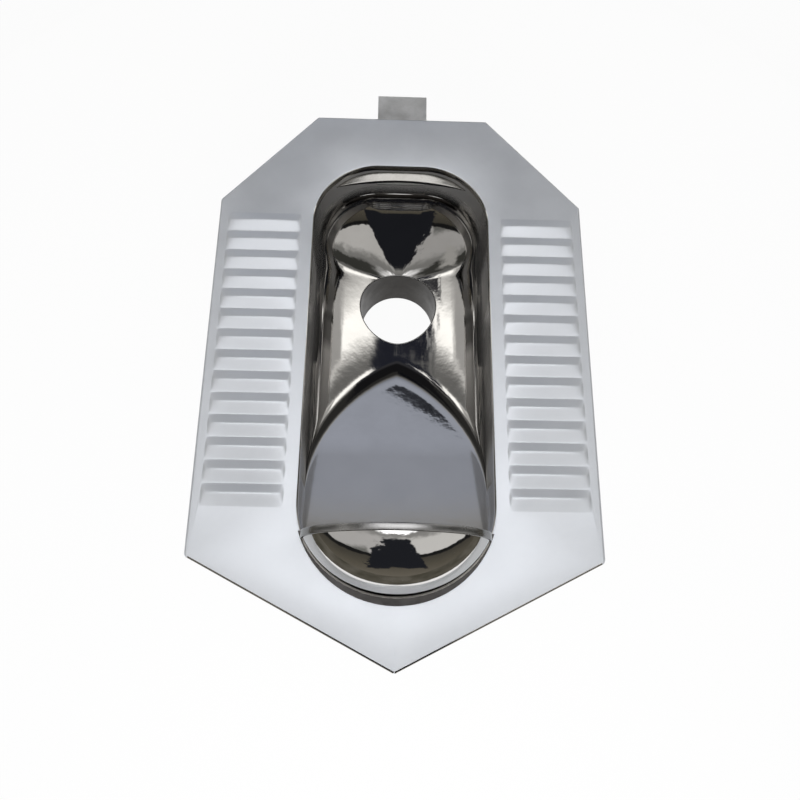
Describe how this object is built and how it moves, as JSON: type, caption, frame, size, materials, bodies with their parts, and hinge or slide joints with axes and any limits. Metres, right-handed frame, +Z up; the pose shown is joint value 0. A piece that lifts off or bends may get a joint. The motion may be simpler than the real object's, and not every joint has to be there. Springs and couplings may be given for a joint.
{
  "type": "squat toilet",
  "caption": "Stainless steel squat toilet pan with ribbed foot treads, a ramped bowl, a domed splash hood, a round bottom drain and a flat rear flush inlet.",
  "frame": {"origin": "centre of the lower end of the drain spigot", "axes": "+Z up, square to the deck; +Y to the rear end, where the flush inlet is; -Y to the hood; +X to the right seen from above with +Y ahead"},
  "size_m": [0.43, 0.702, 0.2488],
  "materials": {
    "deck_steel": "satin",
    "bowl_steel": "polished",
    "hood_steel": "polished",
    "lip_steel": "satin",
    "flange_steel": "polished",
    "spigot_steel": "satin",
    "duct_steel": "dull",
    "bare_steel": "dull",
    "ground_weld": "ground",
    "weld": "as welded"
  },
  "bodies": {
    "root": {"deck_plate": "deck_steel", "edge_corner_welds": "ground_weld", "bowl": "bowl_steel", "bowl_rim_weld": "weld", "hood": "hood_steel", "hood_lip": "lip_steel", "hood_foot_flange": "flange_steel", "hood_foot_bead": "ground_weld", "drain_spigot": "spigot_steel", "drain_weld": "weld", "flush_inlet": "duct_steel", "inlet_weld": "weld", "flush_spreader": "lip_steel", "tread_support_left": "bare_steel", "tread_support_right": "bare_steel", "anchor_lug_rear_left": "bare_steel", "anchor_lug_rear_right": "bare_steel", "anchor_lug_front_left": "bare_steel", "anchor_lug_front_right": "bare_steel"}
  },
  "joints": []
}
